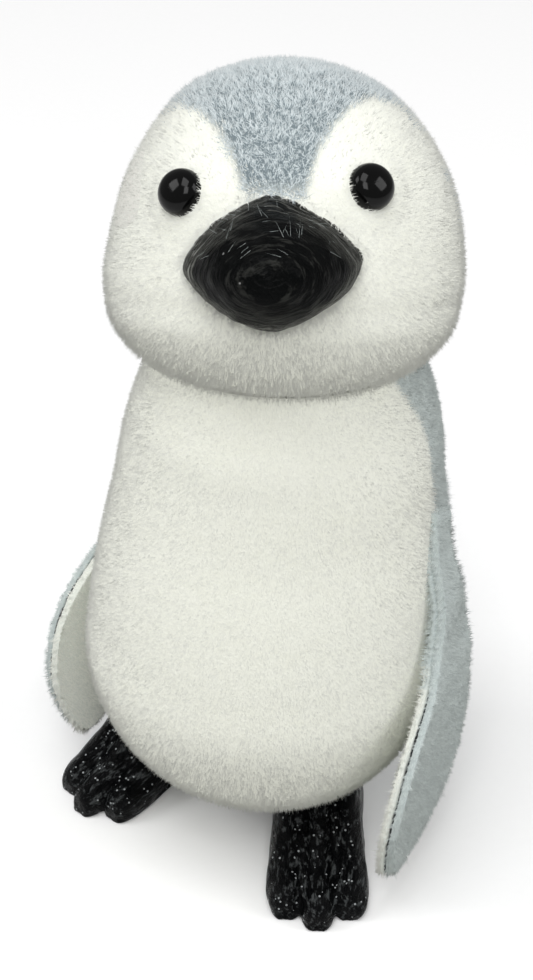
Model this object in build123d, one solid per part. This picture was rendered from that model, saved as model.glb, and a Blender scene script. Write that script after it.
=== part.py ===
from build123d import *
from math import cos, radians, sin, sqrt
import os

os.makedirs("parts", exist_ok=True)

# A standing penguin chick, in millimetres. +Z is up, the belly faces -Y, the penguin's own left is +X.
# The origin lies on the floor under the middle of the figure. The head rests turned to its left, looking up.

# Body
body_clearance = 8.6
body_height = 77.4
body_width = 52.8
body_depth = 51.6
body_lean = 3.0
skin_thickness = 2.0
base_thickness = 1.4

# Head
head_width = 49.0
chin_depth = 20.6
cheek_height = 2.5
cheek_radius = 15.5
head_height = 96.3
head_turn = 31.0
head_pitch = 24.5
face_roll = 3.0
face_depth = 3.0

# Beak
beak_width = 22.4
beak_rise = 8.4
beak_fall = 8.3
beak_length = 9.5
beak_offset = 0.5
beak_root = 4.2
beak_droop = 1.0

# Eyes
eye_diameter = 6.0
eye_height = 2.5
eye_collar = 0.7
eye_shank_diameter = 2.0
eye_shank_length = 7.0
eye_sink = 0.5
eye_azimuth = 31.0
eye_elevation = 20.5

# Neck joint
post_diameter = 9.0
post_bulb_diameter = 11.0
post_bulb_length = 6.0
post_reach_up = 13.0
post_reach_down = 17.0
sleeve_wall = 1.6
sleeve_floor = 1.5
washer_width = 3.2
neck_gap = 0.5
washer_play = 0.1
running_clearance = 0.06

# Feet
foot_length = 30.0
foot_height = 13.0
toe_width = 5.4
toe_spacing = 3.7
toe_fan = 2.0
instep_width = 12.0
left_foot_angle = 33.0
right_foot_angle = 7.0
left_foot_tip_x = 21.9
right_foot_tip_x = 21.6
foot_tip_y = 20.4
side_toe_setback = 2.2
foot_peg_diameter = 3.6
foot_peg_setback = 16.0
foot_peg_length = 15.0
foot_peg_height = 4.0

# Flippers
flipper_root_height = 57.0
flipper_root_setback = 7.0
flipper_root_sink = 1.2
flipper_root_gap = 0.35
flipper_root_width = 6.0
flipper_pocket_width = 18.0
flipper_pocket_length = 17.0
flipper_tip_spread = 1.6
flipper_tip_y = 12.5
flipper_tip_height = 8.5
flipper_turn = 9.0
flipper_bow = 3.4
flipper_width = 22.0
flipper_skin_thickness = 1.0
flipper_card_thickness = 0.8
hinge_wire_diameter = 1.0
hinge_leg_length = 7.0
hinge_end_play = 0.6

# Tail
tail_width = 12.0
tail_thickness = 6.0
tail_length = 6.5
tail_height = 15.0
tail_droop = 2.5

overrun = 5.0

# Height, half width, half depth and lean of the body, as shares of its sizes.
body_section_shares = (
    (0.000, 0.305, 0.30, -0.35),
    (0.028, 0.492, 0.49, -0.40),
    (0.069, 0.674, 0.67, -0.45),
    (0.132, 0.835, 0.83, -0.55),
    (0.209, 0.943, 0.94, -0.60),
    (0.298, 1.000, 1.00, -0.60),
    (0.411, 0.982, 0.99, -0.35),
    (0.537, 0.940, 0.965, 0.12),
    (0.663, 0.880, 0.92, 0.62),
    (0.772, 0.835, 0.875, 0.92),
    (0.841, 0.775, 0.84, 1.00),
    (0.881, 0.735, 0.79, 1.00),
    (1.000, 0.62, 0.66, 1.00),
)
neck_lean_share = 1.0

# The line between the white belly and the grey back, seen from the side: height and depth shares.
side_seam_shares = ((0.0, 0.10), (0.18, 0.14), (0.44, 0.10), (0.70, 0.12), (0.88, 0.20), (1.0, 0.24))

# The upper edge of the white face, from the cheek over the eye to the peak above the beak.
face_edge_shares = (
    (0.985, -0.30),
    (0.975, 0.12),
    (0.90, 0.40),
    (0.78, 0.60),
    (0.63, 0.725),
    (0.50, 0.77),
    (0.385, 0.74),
    (0.295, 0.65),
    (0.215, 0.53),
    (0.15, 0.32),
)

# Reach and size of the beak's sections, and how their upper and lower edges bow.
beak_section_shares = (
    (0.0, 1.0, 0.54, 0.67, 0.62, 0.66),
    (0.28, 0.97, 0.55, 0.69, 0.63, 0.68),
    (0.52, 0.86, 0.60, 0.73, 0.66, 0.71),
    (0.73, 0.69, 0.66, 0.74, 0.68, 0.73),
    (0.90, 0.45, 0.69, 0.73, 0.69, 0.73),
    (1.0, 0.20, 0.70, 0.72, 0.70, 0.72),
)

# Reach, width and height of a toe's sections, and how high their middle lies.
toe_section_shares = (
    (0.0, 0.70, 0.60),
    (0.10, 0.96, 0.92),
    (0.42, 1.0, 1.0),
    (0.66, 1.02, 0.64),
    (0.86, 1.06, 0.42),
    (0.96, 0.84, 0.34),
    (1.0, 0.46, 0.20),
)
toe_middle_share = 0.36

# Reach, width and height of the instep that the toes grow out of.
instep_section_shares = (
    (0.0, 0.70, 0.52),
    (0.12, 0.98, 0.80),
    (0.42, 1.0, 0.88),
    (0.66, 1.0, 0.56),
    (0.88, 0.96, 0.34),
)

# Down the flipper, from the front of its root round the tip to the back: reach and place across the blade.
flipper_edge_shares = (
    (0.20, 0.10),
    (0.36, 0.11),
    (0.50, 0.25),
    (0.62, 0.36),
    (0.745, 0.37),
    (0.85, 0.30),
    (0.94, 0.14),
    (1.00, -0.08),
    (0.95, -0.27),
    (0.86, -0.44),
    (0.74, -0.56),
    (0.58, -0.57),
    (0.40, -0.47),
    (0.20, -0.32),
)

# Reach and size of the tail's sections.
tail_section_shares = ((-1.0, 1.0), (0.4, 0.86), (0.85, 0.55), (1.0, 0.30))

neck_y = body_lean * neck_lean_share


def body_form(inset):
    """The body's lofted form, drawn in by an inset."""
    sections = []
    for height_share, width_share, depth_share, lean_share in body_section_shares:
        height = body_clearance + (body_height - inset) * height_share
        middle = Location((0, body_lean * lean_share, height))
        half_width = body_width / 2 * width_share - inset
        half_depth = body_depth / 2 * depth_share - inset
        sections.append(middle * Ellipse(half_width, half_depth))
    return loft(sections)


def head_form(inset):
    """The head about its own upright axis, drawn in by an inset: a half ball on a rounded jaw."""
    half_width = head_width / 2 - inset
    low_z = -(chin_depth - inset)
    jaw_radius = cheek_radius - inset
    jaw_x = half_width - jaw_radius
    jaw_drop = -cheek_height - low_z
    chin_radius = (jaw_x**2 + jaw_drop**2 - jaw_radius**2) / (2 * (jaw_drop - jaw_radius))
    chin_z = low_z + chin_radius
    lean = (chin_z + cheek_height) / (chin_radius - jaw_radius)
    reach = jaw_x / (chin_radius - jaw_radius)
    meet = (chin_radius * reach, chin_z - chin_radius * lean)
    bend = sqrt(2) / 2
    crown = ThreePointArc((0, half_width), (half_width * bend, half_width * bend), (half_width, 0))
    cheek = Line((half_width, 0), (half_width, -cheek_height))
    jaw = TangentArc((half_width, -cheek_height), meet, tangent=(0, -1))
    chin = TangentArc(meet, (0, low_z), tangent=(-lean, -reach))
    half = make_face(crown + cheek + jaw + chin + Line((0, low_z), (0, half_width)))
    return revolve(Plane.XZ * half, Axis.Z)


def pose_head(piece):
    """A piece of the level, forward-facing head, put in its resting pose on the neck."""
    tilted = piece.rotate(Axis.X, -head_pitch)
    return tilted.rotate(Axis.Z, head_turn).moved(Location((0, neck_y, head_height)))


def neck_hollow(margin):
    """The room in the body, with a margin, for the head and for the path of the beak as the head turns."""
    path_radius = head_width / 2 + beak_length + margin
    path = Cylinder(path_radius, head_width, align=(Align.CENTER, Align.CENTER, Align.MIN))
    path_floor_z = -(beak_fall + beak_droop + margin)
    return [pose_head(head_form(-margin)), pose_head(path.moved(Location((0, 0, path_floor_z))))]


def mirror_side(piece):
    """The same piece on the penguin's right."""
    return mirror(piece, about=Plane.YZ)


# Body: core, skins and base
outer_body = body_form(0) - neck_hollow(neck_gap)
inner_body = body_form(skin_thickness) - neck_hollow(neck_gap + skin_thickness)
base_slab = Box(
    body_width, body_depth, body_clearance + base_thickness, align=(Align.CENTER, Align.CENTER, Align.MIN)
)
base_disc = inner_body & base_slab
body_core = inner_body - base_slab
body_skin = outer_body - inner_body

seam_points = [
    (share * body_depth, body_clearance + height * body_height) for height, share in side_seam_shares
]
seam_top = (seam_points[-1][0], head_height)
seam_bottom = (seam_points[0][0], -overrun)
seam_line = Line(seam_bottom, seam_points[0]) + Spline(*seam_points) + Line(seam_points[-1], seam_top)
front_edge = -(body_depth + overrun)
front_side = make_face(
    seam_line + Polyline(seam_top, (front_edge, seam_top[1]), (front_edge, seam_bottom[1]), seam_bottom)
)
front_room = extrude(Plane.YZ * front_side, body_width, both=True)

# Neck joint: post, sleeve and washer, on the head's own axis, so that the head turns in the body's hollow
post_radius = post_diameter / 2
bulb_radius = post_bulb_diameter / 2
sleeve_radius = bulb_radius + running_clearance + sleeve_wall
post_foot_z = -chin_depth - post_reach_down
sleeve_foot_z = post_foot_z - running_clearance - sleeve_floor
bulb_top_z = post_foot_z + post_bulb_length
bulb_chamfer = bulb_radius - post_radius
post_top_z = -chin_depth + post_reach_up
post_outline = Polyline(
    (0, post_foot_z),
    (post_radius, post_foot_z),
    (bulb_radius, post_foot_z + bulb_chamfer),
    (bulb_radius, bulb_top_z - bulb_chamfer),
    (post_radius, bulb_top_z),
    (post_radius, post_top_z),
    (0, post_top_z),
    close=True,
)
neck_post = revolve(Plane.XZ * make_face(post_outline), Axis.Z)
bore_radius = post_radius + running_clearance
chamber_radius = bulb_radius + running_clearance
chamber_floor_z = post_foot_z - running_clearance
chamber_top_z = bulb_top_z + running_clearance
sleeve_outline = Polyline(
    (0, sleeve_foot_z),
    (sleeve_radius, sleeve_foot_z),
    (sleeve_radius, post_top_z),
    (bore_radius, post_top_z),
    (bore_radius, chamber_top_z),
    (chamber_radius, chamber_top_z - bulb_chamfer),
    (chamber_radius, chamber_floor_z),
    (0, chamber_floor_z),
    close=True,
)
neck_sleeve = revolve(Plane.XZ * make_face(sleeve_outline), Axis.Z) - head_form(-neck_gap)
sleeve_hole = Location((0, 0, sleeve_foot_z)) * Cylinder(
    sleeve_radius, post_top_z - sleeve_foot_z, align=(Align.CENTER, Align.CENTER, Align.MIN)
)
washer_ring = Circle(bore_radius + washer_width) - Circle(bore_radius)
washer_room = Location((0, 0, sleeve_foot_z)) * extrude(washer_ring, -sleeve_foot_z)
neck_washer = (head_form(-neck_gap) - head_form(-washer_play)) & washer_room
post_hole = neck_post
neck_post, neck_sleeve, neck_washer = pose_head(neck_post), pose_head(neck_sleeve), pose_head(neck_washer)
sleeve_hole = pose_head(sleeve_hole)
body_core -= sleeve_hole
body_skin -= sleeve_hole


# Feet
def instep_form():
    """The broad back of a foot that points along -Y."""
    sections = []
    for reach_share, width_share, height_share in instep_section_shares:
        height = foot_height * height_share
        middle = Plane(
            origin=(0, -foot_length * reach_share, height * toe_middle_share),
            x_dir=(1, 0, 0),
            z_dir=(0, -1, 0),
        )
        sections.append(middle * Ellipse(instep_width / 2 * width_share, height * (1 - toe_middle_share)))
    return loft(sections)


def toe_form(side):
    """One toe of a foot that points along -Y, its tip set back when it is a side toe."""
    length = foot_length - abs(side) * side_toe_setback
    sections = []
    for reach_share, width_share, height_share in toe_section_shares:
        height = foot_height * height_share
        middle = Plane(
            origin=(0, -length * reach_share, height * toe_middle_share),
            x_dir=(1, 0, 0),
            z_dir=(0, -1, 0),
        )
        sections.append(middle * Ellipse(toe_width / 2 * width_share, height * (1 - toe_middle_share)))
    toe = loft(sections).rotate(Axis.Z, side * toe_fan)
    return toe.moved(Location((side * toe_spacing, 0, 0)))


def foot_form(foot_angle, foot_tip_x):
    """A left foot with its three toes, as moulded, before the body is cut away."""
    foot = instep_form() + toe_form(0) + toe_form(-1) + toe_form(1)
    above_floor = Box(
        foot_length * 2, foot_length * 3, foot_height + overrun, align=(Align.CENTER, Align.CENTER, Align.MIN)
    )
    foot = foot & above_floor
    heel_x = foot_tip_x - foot_length * sin(radians(foot_angle))
    heel_y = -foot_tip_y + foot_length * cos(radians(foot_angle))
    return foot.rotate(Axis.Z, foot_angle).moved(Location((heel_x, heel_y, 0)))


def foot_peg(foot_angle, foot_tip_x):
    """A left foot's upright peg, from inside the foot up into the body's core."""
    peg_x = foot_tip_x - foot_peg_setback * sin(radians(foot_angle))
    peg_y = -foot_tip_y + foot_peg_setback * cos(radians(foot_angle))
    return Location((peg_x, peg_y, foot_peg_height)) * extrude(Circle(foot_peg_diameter / 2), foot_peg_length)


left_peg = foot_peg(left_foot_angle, left_foot_tip_x)
right_peg = mirror_side(foot_peg(right_foot_angle, right_foot_tip_x))
left_foot = foot_form(left_foot_angle, left_foot_tip_x) - outer_body + left_peg
right_foot = mirror_side(foot_form(right_foot_angle, right_foot_tip_x)) - outer_body + right_peg
for peg in (left_peg, right_peg):
    body_core -= peg
    body_skin -= peg


# Flippers: two layers on a card that is rolled round a wire staple at the root
flipper_thickness = 2 * flipper_skin_thickness + flipper_card_thickness
knuckle_radius = flipper_thickness / 2
wire_radius = hinge_wire_diameter / 2

# The body's section at the flippers' roots, between the two sections that it lies between.
root_height_share = (flipper_root_height - body_clearance) / body_height
below, above = body_section_shares[:2]
for lower, upper in zip(body_section_shares, body_section_shares[1:]):
    if lower[0] <= root_height_share < upper[0]:
        below, above = lower, upper
blend = (root_height_share - below[0]) / (above[0] - below[0])
root_shares = [low + (high - low) * blend for low, high in zip(below, above)]
root_half_width = body_width / 2 * root_shares[1]
root_half_depth = body_depth / 2 * root_shares[2]
root_middle_y = body_lean * root_shares[3]

root_x = root_half_width * sqrt(1 - (flipper_root_setback / root_half_depth) ** 2)
root_outward = Vector(root_x / root_half_width**2, flipper_root_setback / root_half_depth**2, 0).normalized()
root_skin = Vector(root_x, root_middle_y + flipper_root_setback, flipper_root_height)
hinge_middle = root_skin + root_outward * (knuckle_radius - flipper_root_sink)
flipper_tip = Vector(body_width / 2 + flipper_tip_spread, -flipper_tip_y, flipper_tip_height)
blade_outward = Vector(cos(radians(flipper_turn)), sin(radians(flipper_turn)), 0)
down_blade = (flipper_tip - hinge_middle).normalized()
across_blade = down_blade.cross(blade_outward).normalized()
off_blade = across_blade.cross(down_blade).normalized()
blade_length = (flipper_tip - hinge_middle).length


def blade_prism():
    """The flipper's outline, carried through the layers."""
    half_root = flipper_root_width / 2
    edge_points = [(flipper_width * place, blade_length * reach) for reach, place in flipper_edge_shares]
    points = [(half_root, 0), *edge_points, (-half_root, 0)]
    edge = Spline(*points, tangents=[(0, 1), (0, -1)])
    outline = make_face(edge + Line((-half_root, 0), (half_root, 0)))
    blade_plane = Plane(origin=hinge_middle, x_dir=across_blade, z_dir=off_blade)
    return blade_plane * extrude(outline, flipper_width / 2, both=True)


def bowed_layer(inner_offset, outer_offset):
    """A layer of the blade, bowed outwards down its length, wider and longer than the flipper."""
    end_reach = blade_length / 2 + overrun
    end_drop = flipper_bow * (end_reach / (blade_length / 2)) ** 2
    arcs = []
    for offset in (inner_offset, outer_offset):
        crest = offset + flipper_bow
        arcs.append(
            ThreePointArc(
                (crest - end_drop, overrun),
                (crest, -blade_length / 2),
                (crest - end_drop, -blade_length - overrun),
            )
        )
    inner, outer = arcs
    section = make_face(inner + outer + Line(inner @ 0, outer @ 0) + Line(inner @ 1, outer @ 1))
    layer_plane = Plane(origin=hinge_middle, x_dir=off_blade, z_dir=across_blade)
    return layer_plane * extrude(section, flipper_width, both=True)


def along_hinge(radius, length):
    """A round bar on the hinge line."""
    start = hinge_middle - across_blade * (length / 2)
    return Plane(origin=start, z_dir=across_blade) * extrude(Circle(radius), length)


def root_pocket():
    """The hollow in the body's side that a flipper's root lies in."""
    reach = knuckle_radius + flipper_root_gap
    side = flipper_root_width + 2 * (hinge_end_play + hinge_wire_diameter)
    slot = Rectangle(flipper_pocket_width, flipper_pocket_length, align=(Align.CENTER, Align.MIN))
    slot_plane = Plane(origin=hinge_middle, x_dir=across_blade, z_dir=off_blade)
    slot_prism = slot_plane * extrude(slot, flipper_width / 2, both=True)
    return along_hinge(reach, side) + (bowed_layer(-reach, reach) & slot_prism)


prism = blade_prism()
knuckle_room = along_hinge(knuckle_radius, flipper_root_width)
card_offset = flipper_card_thickness / 2
left_flipper_inner = (bowed_layer(-knuckle_radius, -card_offset) & prism) - knuckle_room
left_flipper_outer = (bowed_layer(card_offset, knuckle_radius) & prism) - knuckle_room
left_flipper_card = (bowed_layer(-card_offset, card_offset) & prism) + knuckle_room
left_flipper_card -= along_hinge(wire_radius + running_clearance, flipper_root_width + overrun)

bar_length = flipper_root_width + 2 * hinge_end_play + hinge_wire_diameter
left_shoulder_staple = along_hinge(wire_radius, bar_length)
for side in (-1, 1):
    corner = hinge_middle + across_blade * (side * bar_length / 2)
    leg_plane = Plane(origin=corner, z_dir=root_outward * -1)
    left_shoulder_staple += leg_plane * extrude(Circle(wire_radius), hinge_leg_length)
    left_shoulder_staple += Location(corner) * Sphere(wire_radius)
right_shoulder_staple = mirror_side(left_shoulder_staple)
left_pocket = root_pocket()
for room in (left_pocket, mirror_side(left_pocket), left_shoulder_staple, right_shoulder_staple):
    body_core -= room
    body_skin -= room


# Tail
def tail_form():
    """A short stub that tapers back and down."""
    sections = []
    root_y = body_lean * body_section_shares[3][3] + body_depth / 2 * body_section_shares[3][2]
    for reach_share, size_share in tail_section_shares:
        middle = Plane(
            origin=(0, root_y + tail_length * reach_share, tail_height - tail_droop * reach_share),
            x_dir=(1, 0, 0),
            z_dir=(0, 1, 0),
        )
        sections.append(middle * Ellipse(tail_width / 2 * size_share, tail_thickness / 2 * size_share))
    return loft(sections)


tail = tail_form() - outer_body
belly_skin = body_skin & front_room
back_skin = body_skin - front_room

# Head: core and skins
outer_head = head_form(0)
inner_head = head_form(skin_thickness)
head_skin = outer_head - inner_head
half_head = head_width / 2
edge_points = []
for radius_share, height_share in face_edge_shares:
    edge_points.append((half_head * radius_share, half_head * height_share))
face_low = -(chin_depth + overrun)
face_edge = Line((edge_points[0][0], face_low), edge_points[0]) + Spline(*edge_points)
peak = edge_points[-1]
face_half = make_face(
    face_edge + Polyline(peak, (0, peak[1]), (0, face_low), (edge_points[0][0], face_low))
)
face_outline = face_half + mirror(face_half, about=Plane.YZ)
face_room = extrude(Plane.XZ * face_outline, head_width)
face_room = face_room.moved(Location((0, face_depth, 0))).rotate(Axis.Y, -face_roll)


# Beak
def beak_edges(size_share, upper_x_share, upper_z_share, lower_x_share, lower_z_share):
    """A beak section: a bowed diamond, rounder towards the tip."""
    half = beak_width / 2 * size_share
    rise = beak_rise * size_share
    fall = beak_fall * size_share
    up_x, up_z = half * upper_x_share, rise * upper_z_share
    low_x, low_z = half * lower_x_share, fall * lower_z_share
    upper_edge = Spline((-half, 0), (-up_x, up_z), (0, rise), (up_x, up_z), (half, 0))
    lower_edge = Spline((half, 0), (low_x, -low_z), (0, -fall), (-low_x, -low_z), (-half, 0))
    return make_face(upper_edge + lower_edge)


def beak_form():
    """The beak, from its pocket in the head to its blunt tip."""
    root_y = half_head - beak_root
    reach = beak_root + beak_length
    sections = []
    for reach_share, *edge_shares in beak_section_shares:
        middle = Plane(
            origin=(-beak_offset, -root_y - reach * reach_share, -beak_droop * reach_share),
            x_dir=(1, 0, 0),
            z_dir=(0, -1, 0),
        )
        sections.append(middle * beak_edges(*edge_shares))
    return loft(sections)


# Eyes
def eye_form(side):
    """A half-round eye on its shank, seated in the face."""
    turn, rise = radians(eye_azimuth), radians(eye_elevation)
    outward = Vector(side * sin(turn) * cos(rise), -cos(turn) * cos(rise), sin(rise))
    seat_radius = half_head - eye_sink
    eye_radius = eye_diameter / 2
    dome = Spline((0, eye_height), (eye_radius, 0), tangents=[(1, 0), (0, -1)])
    shank_radius = eye_shank_diameter / 2
    rest = Polyline(
        (eye_radius, 0),
        (eye_radius, -eye_collar),
        (shank_radius, -eye_collar),
        (shank_radius, -eye_collar - eye_shank_length),
        (0, -eye_collar - eye_shank_length),
        (0, eye_height),
    )
    eye = revolve(Plane.XZ * make_face(dome + rest), Axis.Z)
    return Plane(origin=outward * seat_radius, z_dir=outward) * eye


beak = beak_form().rotate(Axis.Y, -face_roll)
left_eye = eye_form(1).rotate(Axis.Y, -face_roll)
right_eye = eye_form(-1).rotate(Axis.Y, -face_roll)
face_skin = head_skin & face_room
crown_skin = head_skin - face_room
for fitting in (beak, left_eye, right_eye):
    face_skin -= fitting
    crown_skin -= fitting
face_skin = pose_head(face_skin - post_hole)
crown_skin = pose_head(crown_skin - post_hole)
beak = pose_head(beak)
left_eye = pose_head(left_eye)
right_eye = pose_head(right_eye)
head_core = pose_head(inner_head) - [neck_post, beak, left_eye, right_eye]

nodes = {
    "body_core": body_core,
    "belly_skin": belly_skin,
    "back_skin": back_skin,
    "base_disc": base_disc,
    "neck_sleeve": neck_sleeve,
    "neck_washer": neck_washer,
    "left_foot": left_foot,
    "right_foot": right_foot,
    "tail": tail,
    "left_shoulder_staple": left_shoulder_staple,
    "right_shoulder_staple": right_shoulder_staple,
    "head_core": head_core,
    "face_skin": face_skin,
    "crown_skin": crown_skin,
    "beak": beak,
    "left_eye": left_eye,
    "right_eye": right_eye,
    "neck_post": neck_post,
    "left_flipper_outer": left_flipper_outer,
    "right_flipper_outer": mirror_side(left_flipper_outer),
    "left_flipper_inner": left_flipper_inner,
    "right_flipper_inner": mirror_side(left_flipper_inner),
    "left_flipper_card": left_flipper_card,
    "right_flipper_card": mirror_side(left_flipper_card),
}
for name, solid in nodes.items():
    export_step(solid, os.path.join("parts", name + ".step"))
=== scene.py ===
"""A standing penguin chick covered in short pile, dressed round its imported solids."""

import logging
import math
from dataclasses import dataclass
from enum import Enum

import bpy
import numpy as np
from mathutils import Matrix, Vector


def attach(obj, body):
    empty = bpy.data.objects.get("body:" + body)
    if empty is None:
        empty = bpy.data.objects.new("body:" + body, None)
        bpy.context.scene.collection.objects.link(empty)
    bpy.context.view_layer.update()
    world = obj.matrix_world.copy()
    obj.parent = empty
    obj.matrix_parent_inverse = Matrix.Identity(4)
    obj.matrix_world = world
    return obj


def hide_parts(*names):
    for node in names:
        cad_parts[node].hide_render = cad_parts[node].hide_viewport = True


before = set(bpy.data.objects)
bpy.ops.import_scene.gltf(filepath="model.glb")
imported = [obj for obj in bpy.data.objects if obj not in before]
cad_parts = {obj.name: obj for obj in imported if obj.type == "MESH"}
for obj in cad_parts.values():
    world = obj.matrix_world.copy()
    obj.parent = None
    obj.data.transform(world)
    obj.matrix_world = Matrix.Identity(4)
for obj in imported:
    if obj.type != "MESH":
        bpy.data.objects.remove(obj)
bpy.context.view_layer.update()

log = logging.getLogger("penguin")
MM = 0.001
PHOTO_HEIGHT_PX = 980
SENSOR_MM = 36.0
PILE_PIECE_FIBRES = 64000

Colour = tuple[float, float, float]


class Side(Enum):
    """The penguin's own left and right, with the sign of X on that side."""

    LEFT = 1
    RIGHT = -1

    @property
    def word(self) -> str:
        """The side's word in piece names."""
        return self.name.lower()


class Coat(Enum):
    """The two colours of pile."""

    WHITE = "white_pile"
    GREY = "grey_pile"


# Shader helpers


def new_material(name: str) -> tuple[bpy.types.Material, bpy.types.Node, bpy.types.NodeTree]:
    """Makes an empty node material.

    Args:
        name: The material's name.
    Returns:
        The material, its Principled shader and its node tree.
    """
    material = bpy.data.materials.new(name)
    material.use_nodes = True
    tree = material.node_tree
    tree.nodes.clear()
    output = tree.nodes.new("ShaderNodeOutputMaterial")
    shader = tree.nodes.new("ShaderNodeBsdfPrincipled")
    tree.links.new(shader.outputs["BSDF"], output.inputs["Surface"])
    return material, shader, tree


def add_ramp(tree: bpy.types.NodeTree, source: bpy.types.NodeSocket, stops: list[tuple[float, Colour]]):
    """Adds a colour ramp driven by a value.

    Args:
        tree: The tree to add it to.
        source: The value that drives it.
        stops: Places and colours.
    Returns:
        The ramp's colour socket.
    """
    ramp = tree.nodes.new("ShaderNodeValToRGB")
    elements = ramp.color_ramp.elements
    while len(elements) < len(stops):
        elements.new(0.5)
    for element, (place, colour) in zip(elements, stops):
        element.position = place
        element.color = (*colour, 1.0)
    tree.links.new(source, ramp.inputs["Fac"])
    return ramp.outputs["Color"]


def add_mix(tree: bpy.types.NodeTree, blend: str, factor, first, second):
    """Adds a colour mix.

    Args:
        tree: The tree to add it to.
        blend: The blend type.
        factor: A socket or a number.
        first: A socket or a colour.
        second: A socket or a colour.
    Returns:
        The mixed colour socket.
    """
    mix = tree.nodes.new("ShaderNodeMix")
    mix.data_type = "RGBA"
    mix.blend_type = blend
    for socket, value in ((mix.inputs[0], factor), (mix.inputs[6], first), (mix.inputs[7], second)):
        if isinstance(value, bpy.types.NodeSocket):
            tree.links.new(value, socket)
        elif isinstance(value, tuple):
            socket.default_value = (*value, 1.0)
        else:
            socket.default_value = value
    return mix.outputs[2]


def add_noise(tree: bpy.types.NodeTree, vector, scale: float, detail: float = 4.0, rough: float = 0.55):
    """Adds a noise texture and returns its value socket."""
    noise = tree.nodes.new("ShaderNodeTexNoise")
    noise.inputs["Scale"].default_value = scale
    noise.inputs["Detail"].default_value = detail
    noise.inputs["Roughness"].default_value = rough
    tree.links.new(vector, noise.inputs["Vector"])
    return noise.outputs["Fac"]


def add_mapping(tree: bpy.types.NodeTree, scale: Colour, turn: Colour = (0.0, 0.0, 0.0)):
    """Adds object coordinates through a mapping and returns the vector socket."""
    place = tree.nodes.new("ShaderNodeTexCoord")
    mapping = tree.nodes.new("ShaderNodeMapping")
    mapping.inputs["Scale"].default_value = scale
    mapping.inputs["Rotation"].default_value = turn
    tree.links.new(place.outputs["Object"], mapping.inputs["Vector"])
    return mapping.outputs["Vector"]


def soiling_group() -> bpy.types.NodeTree:
    """The soft uneven tint that handling leaves on all the pile.

    Returns:
        A node group from a colour to the tinted colour.
    """
    name = "handled_pile"
    if name in bpy.data.node_groups:
        return bpy.data.node_groups[name]
    group = bpy.data.node_groups.new(name, "ShaderNodeTree")
    group.interface.new_socket("Color", in_out="INPUT", socket_type="NodeSocketColor")
    group.interface.new_socket("Tint", in_out="INPUT", socket_type="NodeSocketColor")
    group.interface.new_socket("Amount", in_out="INPUT", socket_type="NodeSocketFloat")
    group.interface.new_socket("Color", in_out="OUTPUT", socket_type="NodeSocketColor")
    entry = group.nodes.new("NodeGroupInput")
    leave = group.nodes.new("NodeGroupOutput")
    vector = add_mapping(group, (1.0, 1.0, 1.6))
    broad = add_noise(group, vector, 55.0, 3.0)
    fine = add_noise(group, vector, 420.0, 2.0)
    both = group.nodes.new("ShaderNodeMath")
    both.operation = "MULTIPLY"
    group.links.new(broad, both.inputs[0])
    group.links.new(fine, both.inputs[1])
    strength = group.nodes.new("ShaderNodeMath")
    strength.operation = "MULTIPLY"
    group.links.new(both.outputs[0], strength.inputs[0])
    group.links.new(entry.outputs["Amount"], strength.inputs[1])
    tinted = add_mix(group, "MULTIPLY", strength.outputs[0], entry.outputs["Color"], entry.outputs["Tint"])
    group.links.new(tinted, leave.inputs["Color"])
    return group


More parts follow.
